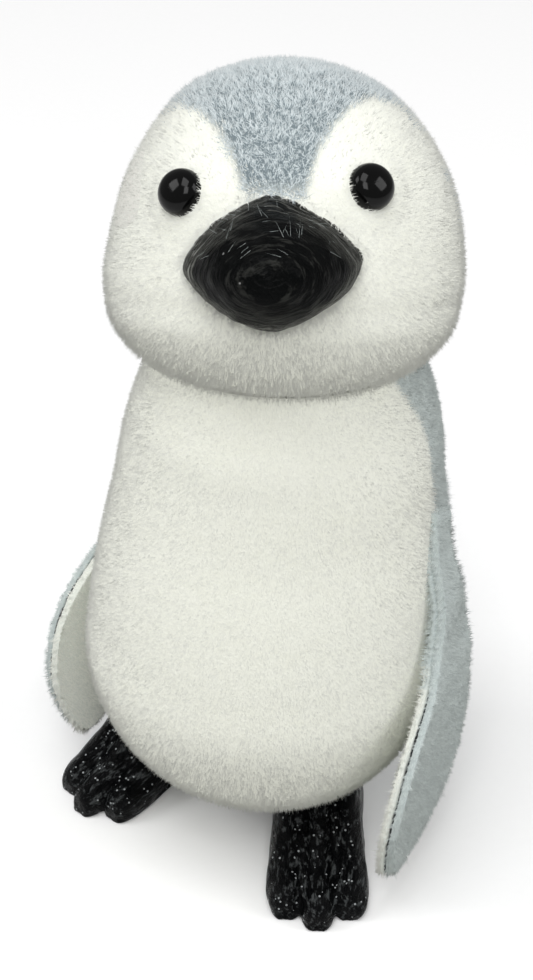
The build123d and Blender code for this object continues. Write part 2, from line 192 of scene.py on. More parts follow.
def gloss_group() -> bpy.types.NodeTree:
    """Brushed black paint: streaks along one way, cracks in its film and bright flecks.

    Returns:
        A node group that gives a height, a fleck mask and a streak mask, partly dust and partly painted glints.
    """
    name = "brushed_paint"
    if name in bpy.data.node_groups:
        return bpy.data.node_groups[name]
    group = bpy.data.node_groups.new(name, "ShaderNodeTree")
    group.interface.new_socket("Vector", in_out="INPUT", socket_type="NodeSocketVector")
    group.interface.new_socket("Fleck", in_out="INPUT", socket_type="NodeSocketFloat")
    for socket in ("Height", "Fleck", "Dust"):
        group.interface.new_socket(socket, in_out="OUTPUT", socket_type="NodeSocketFloat")
    entry = group.nodes.new("NodeGroupInput")
    leave = group.nodes.new("NodeGroupOutput")
    streak = add_noise(group, entry.outputs["Vector"], 900.0, 5.0, 0.65)
    lump = add_noise(group, entry.outputs["Vector"], 300.0, 3.0)
    total = group.nodes.new("ShaderNodeMath")
    total.operation = "MULTIPLY_ADD"
    total.inputs[1].default_value = 2.0
    group.links.new(lump, total.inputs[0])
    group.links.new(streak, total.inputs[2])
    film = group.nodes.new("ShaderNodeTexVoronoi")
    film.feature = "DISTANCE_TO_EDGE"
    film.inputs["Scale"].default_value = 420.0
    film.inputs["Randomness"].default_value = 1.0
    group.links.new(entry.outputs["Vector"], film.inputs["Vector"])
    crack = group.nodes.new("ShaderNodeMapRange")
    crack.inputs["From Max"].default_value = 0.03
    crack.inputs["To Max"].default_value = 0.14
    group.links.new(film.outputs["Distance"], crack.inputs["Value"])
    height = group.nodes.new("ShaderNodeMath")
    height.operation = "ADD"
    group.links.new(total.outputs[0], height.inputs[0])
    group.links.new(crack.outputs["Result"], height.inputs[1])
    group.links.new(height.outputs[0], leave.inputs["Height"])
    cells = group.nodes.new("ShaderNodeTexVoronoi")
    cells.inputs["Scale"].default_value = 2200.0
    place = group.nodes.new("ShaderNodeTexCoord")
    group.links.new(place.outputs["Object"], cells.inputs["Vector"])
    chance = group.nodes.new("ShaderNodeSeparateColor")
    group.links.new(cells.outputs["Color"], chance.inputs["Color"])
    rare = group.nodes.new("ShaderNodeMath")
    rare.operation = "LESS_THAN"
    group.links.new(chance.outputs["Red"], rare.inputs[0])
    group.links.new(entry.outputs["Fleck"], rare.inputs[1])
    near = group.nodes.new("ShaderNodeMath")
    near.operation = "LESS_THAN"
    near.inputs[1].default_value = 0.34
    group.links.new(cells.outputs["Distance"], near.inputs[0])
    fleck = group.nodes.new("ShaderNodeMath")
    fleck.operation = "MULTIPLY"
    group.links.new(rare.outputs[0], fleck.inputs[0])
    group.links.new(near.outputs[0], fleck.inputs[1])
    group.links.new(fleck.outputs[0], leave.inputs["Fleck"])
    # The streak mask, partly dust and partly painted glints along the brushing.
    dust = group.nodes.new("ShaderNodeMapRange")
    dust.inputs["From Min"].default_value = 0.53
    dust.inputs["From Max"].default_value = 0.63
    group.links.new(streak, dust.inputs["Value"])
    group.links.new(dust.outputs["Result"], leave.inputs["Dust"])
    return group


# Finishes


@dataclass(frozen=True)
class PileFinish:
    """The fibres of one coat. Each fibre's map runs along it in V and gives its shade in U. Each fibre darkens from tip
    to root, a painted shade for the depth of the pile, since the fibres cast no shadows.
    """

    name: str
    coat: Coat
    root: Colour
    middle: Colour
    tip: Colour
    dark: Colour

    def material(self) -> bpy.types.Material:
        """The fibre material, made once."""
        if self.name in bpy.data.materials:
            return bpy.data.materials[self.name]
        material, shader, tree = new_material(self.name)
        uv = tree.nodes.new("ShaderNodeUVMap")
        uv.uv_map = "OFBake"
        split = tree.nodes.new("ShaderNodeSeparateXYZ")
        tree.links.new(uv.outputs["UV"], split.inputs["Vector"])
        # Root to tip: the darker root is painted shade deep in the pile.
        along = add_ramp(
            tree, split.outputs["Y"], [(0.0, self.root), (0.45, self.middle), (1.0, self.tip)]
        )
        shade = add_ramp(
            tree, split.outputs["X"], [(0.0, self.dark), (0.35, (0.93, 0.93, 0.93)), (1.0, (1.0, 1.0, 1.0))]
        )
        colour = add_mix(tree, "MULTIPLY", 1.0, along, shade)
        tree.links.new(colour, shader.inputs["Base Color"])
        shader.inputs["Roughness"].default_value = 0.8
        shader.inputs["Specular IOR Level"].default_value = 0.05
        return material


@dataclass(frozen=True)
class SkinFinish:
    """The cloth under the pile, whose colour follows the coat that grows on it."""

    name: str
    white: Colour
    grey: Colour

    def material(self) -> bpy.types.Material:
        """The skin material, made once."""
        if self.name in bpy.data.materials:
            return bpy.data.materials[self.name]
        material, shader, tree = new_material(self.name)
        tone = tree.nodes.new("ShaderNodeAttribute")
        tone.attribute_name = "coat_tone"
        base = add_mix(tree, "MIX", tone.outputs["Fac"], self.white, self.grey)
        soil = tree.nodes.new("ShaderNodeGroup")
        soil.node_tree = soiling_group()
        soil.inputs["Tint"].default_value = (0.90, 0.90, 0.84, 1.0)
        soil.inputs["Amount"].default_value = 0.8
        tree.links.new(base, soil.inputs["Color"])
        tree.links.new(soil.outputs["Color"], shader.inputs["Base Color"])
        vector = add_mapping(tree, (1.0, 1.0, 0.6))
        bump = tree.nodes.new("ShaderNodeBump")
        bump.inputs["Strength"].default_value = 0.4
        bump.inputs["Distance"].default_value = 0.0003
        tree.links.new(add_noise(tree, vector, 2600.0, 3.0), bump.inputs["Height"])
        tree.links.new(bump.outputs["Normal"], shader.inputs["Normal"])
        shader.inputs["Roughness"].default_value = 0.95
        shader.inputs["Specular IOR Level"].default_value = 0.1
        shader.inputs["Sheen Weight"].default_value = 0.2
        return material


@dataclass(frozen=True)
class PaintFinish:
    """Black paint over a moulding, whose grey streaks are partly dust and partly painted glints."""

    name: str
    base: Colour
    dust: Colour
    fleck: Colour
    fleck_share: float
    roughness: float
    bump_mm: float
    gloss: float

    def material(self) -> bpy.types.Material:
        """The paint material, made once."""
        if self.name in bpy.data.materials:
            return bpy.data.materials[self.name]
        material, shader, tree = new_material(self.name)
        paint = tree.nodes.new("ShaderNodeGroup")
        paint.node_tree = gloss_group()
        paint.inputs["Fleck"].default_value = self.fleck_share
        grain = tree.nodes.new("ShaderNodeAttribute")
        grain.attribute_name = "grain"
        tree.links.new(grain.outputs["Vector"], paint.inputs["Vector"])
        # coat_tone scales the grey streaks: dust, painted glints and, round the beak's rim, a painted reflection of the
        # floor.
        tone = tree.nodes.new("ShaderNodeAttribute")
        tone.attribute_name = "coat_tone"
        dust_and_sheen = tree.nodes.new("ShaderNodeMath")
        dust_and_sheen.operation = "MULTIPLY"
        tree.links.new(tone.outputs["Fac"], dust_and_sheen.inputs[0])
        tree.links.new(paint.outputs["Dust"], dust_and_sheen.inputs[1])
        dust_and_sheen_colour = add_mix(tree, "MIX", dust_and_sheen.outputs[0], self.base, self.dust)
        colour = add_mix(tree, "MIX", paint.outputs["Fleck"], dust_and_sheen_colour, self.fleck)
        tree.links.new(colour, shader.inputs["Base Color"])
        rough = tree.nodes.new("ShaderNodeMapRange")
        rough.inputs["To Min"].default_value = self.roughness
        rough.inputs["To Max"].default_value = self.roughness + 0.25
        tree.links.new(dust_and_sheen.outputs[0], rough.inputs["Value"])
        tree.links.new(rough.outputs["Result"], shader.inputs["Roughness"])
        bump = tree.nodes.new("ShaderNodeBump")
        bump.inputs["Strength"].default_value = 1.0
        bump.inputs["Distance"].default_value = self.bump_mm * MM
        tree.links.new(paint.outputs["Height"], bump.inputs["Height"])
        tree.links.new(bump.outputs["Normal"], shader.inputs["Normal"])
        shader.inputs["Specular IOR Level"].default_value = self.gloss
        return material


@dataclass(frozen=True)
class PlainFinish:
    """A finish for a small carried-over part, with a fine mottle in its colour and roughness."""

    name: str
    base: Colour
    second: Colour
    roughness: float
    metallic: float = 0.0
    gloss: float = 0.5

    def material(self) -> bpy.types.Material:
        """The material, made once."""
        if self.name in bpy.data.materials:
            return bpy.data.materials[self.name]
        material, shader, tree = new_material(self.name)
        vector = add_mapping(tree, (1.0, 1.0, 1.0))
        mottle = add_noise(tree, vector, 900.0, 3.0)
        tree.links.new(add_mix(tree, "MIX", mottle, self.base, self.second), shader.inputs["Base Color"])
        rough = tree.nodes.new("ShaderNodeMapRange")
        rough.inputs["To Min"].default_value = self.roughness
        rough.inputs["To Max"].default_value = self.roughness + 0.12
        tree.links.new(mottle, rough.inputs["Value"])
        tree.links.new(rough.outputs["Result"], shader.inputs["Roughness"])
        shader.inputs["Metallic"].default_value = self.metallic
        shader.inputs["Specular IOR Level"].default_value = self.gloss
        return material


WHITE_FIBRE = PileFinish(
    "white_fibre", Coat.WHITE, (0.90, 0.91, 0.82), (0.93, 0.94, 0.87), (0.95, 0.96, 0.90), (0.96, 0.96, 0.95)
)
GREY_FIBRE = PileFinish(
    "grey_fibre", Coat.GREY, (0.50, 0.55, 0.54), (0.66, 0.73, 0.71), (0.84, 0.91, 0.89), (0.74, 0.77, 0.78)
)
# The crown's near-black roots are painted shade in the gaps of its clumped pile.
CROWN_FIBRE = PileFinish(
    "crown_fibre", Coat.GREY, (0.16, 0.20, 0.22), (0.60, 0.67, 0.69), (0.95, 0.99, 0.99), (0.62, 0.66, 0.68)
)
SKIN = SkinFinish("pile_backing", (0.90, 0.91, 0.83), (0.50, 0.56, 0.56))
# Under the crown the cloth is dark grey, a painted shade at the bottom of the pile.
CROWN_SKIN = SkinFinish("head_backing_cloth", (0.90, 0.91, 0.83), (0.17, 0.21, 0.23))
# The grey streak colours are partly dust and partly painted glints; on the beak they also lay a painted reflection on
# the lower rim.
BEAK_PAINT = PaintFinish(
    "beak_paint", (0.0022, 0.0026, 0.0026), (0.33, 0.335, 0.305), (0.2, 0.2, 0.2), 0.002, 0.20, 0.50, 0.04
)
FOOT_PAINT = PaintFinish(
    "foot_paint", (0.0015, 0.0017, 0.002), (0.10, 0.108, 0.11), (0.34, 0.36, 0.37), 0.08, 0.16, 0.50, 0.05
)
EYE_GLOSS = PlainFinish("eye_gloss", (0.002, 0.002, 0.002), (0.003, 0.003, 0.003), 0.04, gloss=0.16)
CARD_SEAM = SkinFinish("flipper_seam", (0.045, 0.05, 0.055), (0.50, 0.56, 0.56))
CARD = PlainFinish("flipper_card", (0.055, 0.058, 0.062), (0.11, 0.115, 0.12), 0.7)
WIRE = PlainFinish("hinge_wire", (0.62, 0.63, 0.62), (0.70, 0.71, 0.70), 0.7, 1.0)
FOAM = PlainFinish("core_foam", (0.80, 0.79, 0.74), (0.70, 0.69, 0.64), 0.9)
NECK = PlainFinish("neck_plastic", (0.76, 0.75, 0.71), (0.70, 0.69, 0.66), 0.45)
FELT = PlainFinish("neck_felt", (0.80, 0.80, 0.76), (0.68, 0.68, 0.64), 0.95)


# Mesh helpers


def deselect() -> None:
    """Leaves object mode with nothing selected."""
    if bpy.context.object and bpy.context.object.mode != "OBJECT":
        bpy.ops.object.mode_set(mode="OBJECT")
    bpy.ops.object.select_all(action="DESELECT")


def hold(piece: bpy.types.Object) -> None:
    """Makes a piece the only selected and active object."""
    deselect()
    piece.select_set(True)
    bpy.context.view_layer.objects.active = piece


def places_of(piece: bpy.types.Object) -> np.ndarray:
    """A piece's vertex places as an array of rows."""
    places = np.empty(len(piece.data.vertices) * 3)
    piece.data.vertices.foreach_get("co", places)
    return places.reshape(-1, 3)


def normals_of(piece: bpy.types.Object) -> np.ndarray:
    """A piece's vertex normals as an array of rows."""
    normals = np.empty(len(piece.data.vertices) * 3)
    piece.data.vertices.foreach_get("normal", normals)
    return normals.reshape(-1, 3)


def put_places(piece: bpy.types.Object, places: np.ndarray) -> None:
    """Moves a piece's vertices."""
    piece.data.vertices.foreach_set("co", np.ascontiguousarray(places, dtype=np.float64).ravel())
    piece.data.update()


def ball(name: str, segments: int, rings: int) -> bpy.types.Object:
    """A unit ball to be shaped.

    Args:
        name: The piece's name.
        segments: Faces round it.
        rings: Faces from pole to pole.
    Returns:
        The new object, at the origin.
    """
    deselect()
    bpy.ops.mesh.primitive_grid_add(x_subdivisions=segments, y_subdivisions=rings, size=2.0)
    piece = bpy.context.object
    piece.name = piece.data.name = name
    sheet = places_of(piece)
    turn, rise = sheet[:, 0] * math.pi, sheet[:, 1] * math.pi / 2
    put_places(piece, np.stack([np.cos(rise) * np.cos(turn), np.cos(rise) * np.sin(turn), np.sin(rise)], 1))
    bpy.ops.object.mode_set(mode="EDIT")
    bpy.ops.mesh.select_all(action="SELECT")
    bpy.ops.mesh.remove_doubles(threshold=0.00001)
    bpy.ops.mesh.normals_make_consistent(inside=False)
    bpy.ops.object.mode_set(mode="OBJECT")
    bpy.ops.object.shade_smooth()
    return piece


def copy_node(name: str, node: str, voxel_mm: float) -> bpy.types.Object:
    """A merged, evenly remeshed copy of a solid.

    Args:
        name: The new piece's name.
        node: The solid's name.
        voxel_mm: The remesh size.
    Returns:
        The new object, at the origin.
    """
    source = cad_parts[node]
    piece = bpy.data.objects.new(name, source.data.copy())
    piece.data.name = name
    bpy.context.scene.collection.objects.link(piece)
    piece.data.materials.clear()
    hold(piece)
    bpy.ops.object.mode_set(mode="EDIT")
    bpy.ops.mesh.select_all(action="SELECT")
    bpy.ops.mesh.remove_doubles(threshold=0.000002)
    bpy.ops.object.mode_set(mode="OBJECT")
    remesh = piece.modifiers.new("even", "REMESH")
    remesh.mode = "VOXEL"
    remesh.voxel_size = voxel_mm * MM
    bpy.ops.object.modifier_apply(modifier=remesh.name)
    smooth = piece.modifiers.new("soften", "SMOOTH")
    smooth.factor = 0.5
    smooth.iterations = 4
    bpy.ops.object.modifier_apply(modifier=smooth.name)
    bpy.ops.object.shade_smooth()
    return piece


def shrink(piece: bpy.types.Object, depth_mm: float) -> None:
    """Draws a piece in along its normals."""
    put_places(piece, places_of(piece) - normals_of(piece) * depth_mm * MM)


def paint_tone(piece: bpy.types.Object, tone: np.ndarray) -> None:
    """Stores how grey the coat is at each vertex, with painted shade on the flippers' inner cloth; on the black paints,
    how strongly the dust, painted glints and painted reflection show.
    """
    layer = piece.data.attributes.new("coat_tone", "FLOAT", "POINT")
    layer.data.foreach_set("value", tone.astype(np.float32))


def lay_grain(piece: bpy.types.Object, rows: np.ndarray) -> None:
    """Stores the coordinates that the paint's streaks follow, in metres."""
    layer = piece.data.attributes.new("grain", "FLOAT_VECTOR", "POINT")
    layer.data.foreach_set("vector", np.ascontiguousarray(rows, dtype=np.float32).ravel())


def dress(piece: bpy.types.Object, body: str, slot: str, material: bpy.types.Material, *nodes: str) -> None:
    """Gives a finished piece its material and body, and hides the solids that it stands for.

    Args:
        piece: The finished piece.
        body: The body that it rides on.
        slot: The record's material slot; not used.
        material: Its material.
        nodes: The solids that it replaces.
    """
    piece.data.materials.clear()
    piece.data.materials.append(material)
    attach(piece, body)
    if nodes:
        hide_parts(*nodes)
    log.info("%s: %d faces on %s", piece.name, len(piece.data.polygons), body)


def smooth_step(value: np.ndarray, low: float, high: float) -> np.ndarray:
    """A soft ramp from 0 at low to 1 at high."""
    share = np.clip((value - low) / (high - low), 0.0, 1.0)
    return share * share * (3.0 - 2.0 * share)


def table_curve(table: np.ndarray, at: np.ndarray) -> np.ndarray:
    """A smooth curve through a table's rows.

    Args:
        table: Rows of place and value, in rising order of place.
        at: Places to read.
    Returns:
        The values there.
    """
    x, y = table[:, 0], table[:, 1]
    slope = np.gradient(y, x)
    index = np.clip(np.searchsorted(x, at) - 1, 0, len(x) - 2)
    step = x[index + 1] - x[index]
    t = np.clip((at - x[index]) / step, 0.0, 1.0)
    rise = (1 + 2 * t) * (1 - t) ** 2 * y[index] + t * t * (3 - 2 * t) * y[index + 1]
    return rise + step * (t * (1 - t) ** 2 * slope[index] + t * t * (t - 1) * slope[index + 1])


class Swirl:
    """A smooth field of directions, for the lie of the pile."""

    def __init__(self, seed: int, size_mm: float, waves: int = 14) -> None:
        """Draws the waves that make the field."""
        rng = np.random.default_rng(seed)
        self.ways = rng.normal(size=(3, waves, 3)) / (size_mm * MM)
        self.starts = rng.uniform(0.0, 2.0 * math.pi, size=(3, waves))
        self.weight = 1.0 / math.sqrt(waves / 2.0)

    def at(self, places: np.ndarray) -> np.ndarray:
        """The field at some places, as rows of about unit size."""
        parts = []
        for way, start in zip(self.ways, self.starts):
            parts.append(np.sin(places @ way.T + start).sum(axis=1) * self.weight)
        return np.stack(parts, axis=1)


@dataclass
class Pile:
    """Fibres grown on skins: each is a slim spike with its own lean, length and shade."""

    seed: int
    width_mm: float = 0.125
    clump: float = 0.12
    clump_mm: float = 0.5
    jitter: float = 0.22
    soft: float = 0.12
    stray: float = 0.10

    def scatter(self, skin: bpy.types.Object, per_mm2: float) -> tuple[np.ndarray, np.ndarray]:
        """Spreads roots evenly over a skin.

        Args:
            skin: The skin's mesh object.
            per_mm2: How many fibres grow on a square millimetre.
        Returns:
            Places and normals of the roots.
        """
        mesh = skin.data
        mesh.calc_loop_triangles()
        corners = np.empty(len(mesh.loop_triangles) * 3, dtype=np.int64)
        mesh.loop_triangles.foreach_get("vertices", corners)
        corners = corners.reshape(-1, 3)
        places, normals = places_of(skin), normals_of(skin)
        a, b, c = (places[corners[:, i]] for i in range(3))
        area = np.linalg.norm(np.cross(b - a, c - a), axis=1) / 2.0
        rng = np.random.default_rng(self.seed)
        count = int(area.sum() / MM**2 * per_mm2)
        pick = np.searchsorted(np.cumsum(area) / area.sum(), rng.random(count)).clip(0, len(area) - 1)
        first, second = rng.random(count), rng.random(count)
        over = first + second > 1.0
        first[over], second[over] = 1.0 - first[over], 1.0 - second[over]
        share = np.stack([1.0 - first - second, first, second], axis=1)[:, :, None]
        root = (places[corners[pick]] * share).sum(axis=1)
        normal = (normals[corners[pick]] * share).sum(axis=1)
        return root, normal / np.linalg.norm(normal, axis=1, keepdims=True)

    def grow(
        self,
        name: str,
        root: np.ndarray,
        normal: np.ndarray,
        length_mm: np.ndarray,
        comb: np.ndarray,
        finish: PileFinish,
        body: str,
    ) -> None:
        """Makes the fibres' meshes, split so that no piece grows too large.

        Args:
            name: The pieces' name, to which a number is added.
            root: Root places.
            normal: Skin normals there.
            length_mm: Fibre lengths.
            comb: The way that the pile is brushed, added to the normal.
            finish: The coat's finish.
            body: The body that the pieces ride on.
        """
        rng = np.random.default_rng(self.seed + 1)
        count = len(root)
        lean = comb + Swirl(self.seed, self.clump_mm).at(root) * self.clump
        lean += rng.normal(size=(count, 3)) * self.jitter
        way = normal * 1.15 + lean
        way += normal * np.clip(0.55 - (way * normal).sum(axis=1), 0.0, None)[:, None]
        way /= np.linalg.norm(way, axis=1, keepdims=True)
        reach = length_mm * rng.uniform(0.75, 1.12, count) * MM
        reach *= np.where(rng.random(count) < self.stray, 1.4, 1.0)
        shade = rng.beta(2.2, 1.6, count)
        side = np.cross(way, rng.normal(size=(count, 3)))
        side /= np.linalg.norm(side, axis=1, keepdims=True)
        other = np.cross(way, side)
        half = self.width_mm / 2.0 * MM * rng.uniform(0.75, 1.3, count)[:, None]
        order = rng.permutation(count)
        pieces = math.ceil(count / PILE_PIECE_FIBRES)
        for number, chosen in enumerate(np.array_split(order, pieces), 1):
            corners, soft = [], []
            for turn in (0.0, 2.0943951, 4.1887902):
                spread = side[chosen] * math.cos(turn) + other[chosen] * math.sin(turn)
                corners.append(root[chosen] + spread * half[chosen] - normal[chosen] * 0.00015)
                soft.append(normal[chosen] + spread * self.soft)
            corners.append(root[chosen] + way[chosen] * reach[chosen][:, None])
            soft.append(normal[chosen] + way[chosen] * self.soft)
            self.spikes(f"{name}_{number}", np.stack(corners, 1), np.stack(soft, 1), shade[chosen], finish, body)

    @staticmethod
    def spikes(
        name: str, corners: np.ndarray, soft: np.ndarray, shade: np.ndarray, finish: PileFinish, body: str
    ) -> None:
        """Makes one mesh of three-sided spikes.

        Args:
            name: The piece's name.
            corners: Three root corners and a tip for each fibre.
            soft: Shading normals for them.
            shade: Each fibre's shade.
            finish: The coat's finish.
            body: The body that it rides on.
        """
        count = len(corners)
        mesh = bpy.data.meshes.new(name)
        first = np.arange(count)[:, None] * 4
        faces = (first[:, :, None] + np.array([[0, 1, 3], [1, 2, 3], [2, 0, 3]])[None]).reshape(-1)
        mesh.vertices.add(count * 4)
        mesh.vertices.foreach_set("co", corners.reshape(-1))
        mesh.loops.add(count * 9)
        mesh.loops.foreach_set("vertex_index", faces.astype(np.int32))
        mesh.polygons.add(count * 3)
        mesh.polygons.foreach_set("loop_start", np.arange(count * 3, dtype=np.int32) * 3)
        mesh.update(calc_edges=True)
        layer = mesh.uv_layers.new(name="OFBake")
        along = np.tile(np.array([0.02, 0.02, 0.98]), count * 3)
        across = np.repeat(shade * 0.96 + 0.02, 9)
        layer.uv.foreach_set("vector", np.stack([across, along], 1).astype(np.float32).ravel())
        soft = soft.reshape(-1, 3)
        mesh.normals_split_custom_set_from_vertices(soft / np.linalg.norm(soft, axis=1, keepdims=True))
        piece = bpy.data.objects.new(name, mesh)
        bpy.context.scene.collection.objects.link(piece)
        # The fibres cast no shadows and stop no bounce light; their darker roots stand in as painted shade.
        piece.visible_shadow = piece.visible_diffuse = False
        dress(piece, body, finish.coat.value, finish.material())


# Sub-assemblies


@dataclass
class Head:
    """The round head with its white face, grey crown, beak and eyes, in millimetres."""

    radius: float = 24.5
    chin_depth: float = 20.6
    cheek_height: float = 2.5
    cheek_radius: float = 15.5
    turn: float = 31.0
    pitch: float = 24.5
    roll: float = 3.0
    neck_y: float = 3.0
    height: float = 96.3
    gap: float = 0.5
    pile: float = 0.8
    face_depth: float = 3.0
    per_mm2: float = 26.0
    white_share: float = 0.45
    left_temple: float = 1.6
    right_temple: float = 0.7
    eye_turn: float = 31.0
    eye_rise: float = 20.5
    eye_radius: float = 3.0
    beak_width: float = 22.4
    beak_rise: float = 8.4
    beak_fall: float = 8.3
    beak_length: float = 9.5
    beak_root: float = 4.2
    beak_droop: float = 1.0
    beak_offset: float = 0.5

    FACE_EDGE = (
        (0.985, -0.30), (0.975, 0.12), (0.90, 0.40), (0.78, 0.60), (0.63, 0.725),
        (0.50, 0.77), (0.385, 0.74), (0.295, 0.65), (0.215, 0.53), (0.15, 0.32),
    )
    BEAK_SECTIONS = ((0.0, 1.0), (0.28, 0.97), (0.52, 0.86), (0.73, 0.69), (0.90, 0.45), (0.97, 0.26), (1.0, 0.0))

    def pose(self) -> np.ndarray:
        """The turn from the level, forward-facing head to its resting pose."""
        tilt = Matrix.Rotation(math.radians(-self.pitch), 3, "X")
        return np.array(Matrix.Rotation(math.radians(self.turn), 3, "Z") @ tilt)

    def placed(self, local: np.ndarray) -> np.ndarray:
        """Head places in millimetres to the row frame in metres."""
        return (local @ self.pose().T + np.array([0.0, self.neck_y, self.height])) * MM

    def local(self, places: np.ndarray) -> np.ndarray:
        """Row-frame places in metres to head places in millimetres."""
        return (places / MM - np.array([0.0, self.neck_y, self.height])) @ self.pose()

    def rolled(self, local: np.ndarray) -> np.ndarray:
        """Head places with the face's small roll taken out."""
        turn = math.radians(-self.roll)
        x = local[:, 0] * math.cos(turn) - local[:, 2] * math.sin(turn)
        z = local[:, 0] * math.sin(turn) + local[:, 2] * math.cos(turn)
        return np.stack([x, local[:, 1], z], 1)

    def jaw(self) -> tuple[float, float, float, float]:
        """The jaw arc's centre, the chin's radius and height, and the slope where they meet."""
        jaw_x = self.radius - self.cheek_radius
        drop = self.chin_depth - self.cheek_height
        chin = (jaw_x**2 + drop**2 - self.cheek_radius**2) / (2 * (drop - self.cheek_radius))
        chin_z = chin - self.chin_depth
        return jaw_x, chin, chin_z, -math.asin((chin_z + self.cheek_height) / (chin - self.cheek_radius))

    def distance(self, local: np.ndarray) -> tuple[np.ndarray, np.ndarray]:
        """How far places lie outside the head, and the way out of it.

        Args:
            local: Places in the head's own frame.
        Returns:
            Distances in millimetres, negative inside, and unit ways.
        """
        jaw_x, chin, chin_z, meet = self.jaw()
        out = np.linalg.norm(local[:, :2], axis=1)
        up = local[:, 2]
        below_jaw = np.arctan2(up + self.cheek_height, out - jaw_x) < meet
        on_chin = (up < -self.cheek_height) & (below_jaw | (out < jaw_x))
        centre_r = np.where(on_chin | (up > 0), 0.0, np.where(up < -self.cheek_height, jaw_x, 0.0))
        centre_z = np.where(on_chin, chin_z, np.where(up < -self.cheek_height, -self.cheek_height, np.minimum(up, 0.0)))
        size = np.where(on_chin, chin, np.where(up < -self.cheek_height, self.cheek_radius, self.radius))
        away = np.stack([out - centre_r, up - centre_z], 1)
        length = np.maximum(np.linalg.norm(away, axis=1), 1e-6)
        flat = local[:, :2] / np.maximum(out, 1e-6)[:, None]
        way = np.concatenate([flat * (away[:, :1] / length[:, None]), away[:, 1:] / length[:, None]], 1)
        return length - size, way

    def form(self, ways: np.ndarray, inset: float | np.ndarray) -> np.ndarray:
        """Places on the head whose normals point in the given ways.

        Args:
            ways: Unit normals.
            inset: How far the surface is drawn in.
        Returns:
            Places in the head's own frame.
        """
        jaw_x, chin, chin_z, meet = self.jaw()
        rise = np.arcsin(np.clip(ways[:, 2], -1.0, 1.0))
        jaw = smooth_step(-rise, -0.05, 0.05)
        centre_r = np.where(rise < meet, 0.0, jaw * jaw_x)
        centre_z = np.where(rise < meet, chin_z, -self.cheek_height * jaw)
        size = np.where(rise < meet, chin, self.radius - jaw * jaw_x) - inset
        out = centre_r + size * np.cos(rise)
        flat = ways[:, :2] / np.maximum(np.linalg.norm(ways[:, :2], axis=1, keepdims=True), 1e-9)
        x, z = flat[:, 0] * out, centre_z + size * np.sin(rise)
        temple = smooth_step(np.abs(x), 11.0, 21.0) * smooth_step(z, -8.0, 6.0)
        x = x - np.where(x < 0, -self.left_temple, self.right_temple) * temple
        return np.stack([x, flat[:, 1] * out, z], 1)

    def tone(self, local: np.ndarray) -> np.ndarray:
        """How far a place lies inside the grey crown, in millimetres, negative on the white face."""
        face = self.rolled(local)
        edge = np.array(self.FACE_EDGE) * self.radius
        across = np.abs(face[:, 0])
        line = edge[::-1]
        top = np.interp(across, line[:, 0], line[:, 1])
        top = np.where(across > edge[0, 0], -self.radius, top)
        steep = np.gradient(line[:, 1], line[:, 0])
        slope = np.interp(across, line[:, 0], steep)
        above = (face[:, 2] - top) / np.sqrt(1.0 + np.clip(slope, -6, 6) ** 2)
        inner = np.where(across < line[0, 0], np.minimum(above, line[0, 0] - across + 0.6), above)
        above = np.where(face[:, 2] < line[0, 1], np.minimum(above, inner), above)
        return np.maximum(above, face[:, 1] - self.face_depth)

    def beak_outline(self, local: np.ndarray, grow: float) -> np.ndarray:
        """True where a place on the face lies inside the beak's outline, grown by some millimetres."""
        face = self.rolled(local) + np.array([self.beak_offset, 0.0, 0.0])
        half = self.beak_width / 2 * 0.97
        share = np.abs(face[:, 0]) / (half + grow)
        upper = np.interp(share, [0.0, 0.25, 0.54, 0.8, 1.0], [1.0, 0.93, 0.67, 0.33, 0.0]) * self.beak_rise
        lower = np.interp(share, [0.0, 0.3, 0.62, 0.85, 1.0], [1.0, 0.93, 0.66, 0.31, 0.0]) * self.beak_fall
        inside = (face[:, 2] < upper + grow) & (face[:, 2] > -lower - grow)
        return inside & (share < 1.0) & (face[:, 1] < 0.0)

    def eye_distance(self, local: np.ndarray) -> np.ndarray:
        """Distance from the nearer eye's axis."""
        face = self.rolled(local)
        turn, rise = math.radians(self.eye_turn), math.radians(self.eye_rise)
        nearest = np.full(len(face), 1e3)
        for side in Side:
            axis = np.array(
                [side.value * math.sin(turn) * math.cos(rise), -math.cos(turn) * math.cos(rise), math.sin(rise)]
            )
            along = face @ axis
            away = np.linalg.norm(face - along[:, None] * axis, axis=1)
            nearest = np.minimum(nearest, np.where(along > 0, away, 1e3))
        return nearest

    def socket(self, local: np.ndarray) -> np.ndarray:
        """How far the cloth swells round the eyes, most at their sides, in millimetres."""
        face = self.rolled(local)
        turn, rise = math.radians(self.eye_turn), math.radians(self.eye_rise)
        away = self.eye_distance(local)
        centre_z = self.radius * math.sin(rise)
        level = np.clip(np.abs(face[:, 2] - centre_z) / np.maximum(away, 1.0), 0.0, 1.0)
        ring = 1.0 - smooth_step(away, self.eye_radius + 0.4, self.eye_radius + 3.6)
        return ring * (0.75 - 0.45 * level) * smooth_step(-face[:, 1], 4.0, 8.0)

    def eye_way(self, local: np.ndarray, normal: np.ndarray) -> np.ndarray:
        """The way along the skin to the nearer eye, mostly sideways, so that pile laps over its sides."""
        face = self.rolled(local)
        turn, rise = math.radians(self.eye_turn), math.radians(self.eye_rise)
        centre = np.array([math.sin(turn) * math.cos(rise), -math.cos(turn) * math.cos(rise), math.sin(rise)])
        eye = centre * self.radius * np.stack([np.sign(face[:, 0]), np.ones(len(face)), np.ones(len(face))], 1)
        way = (eye - face) * np.array([1.0, 1.0, 0.6])
        way /= np.maximum(np.linalg.norm(way, axis=1, keepdims=True), 1e-6)
        way = way @ self.pose().T
        return way - normal * (way * normal).sum(axis=1, keepdims=True)

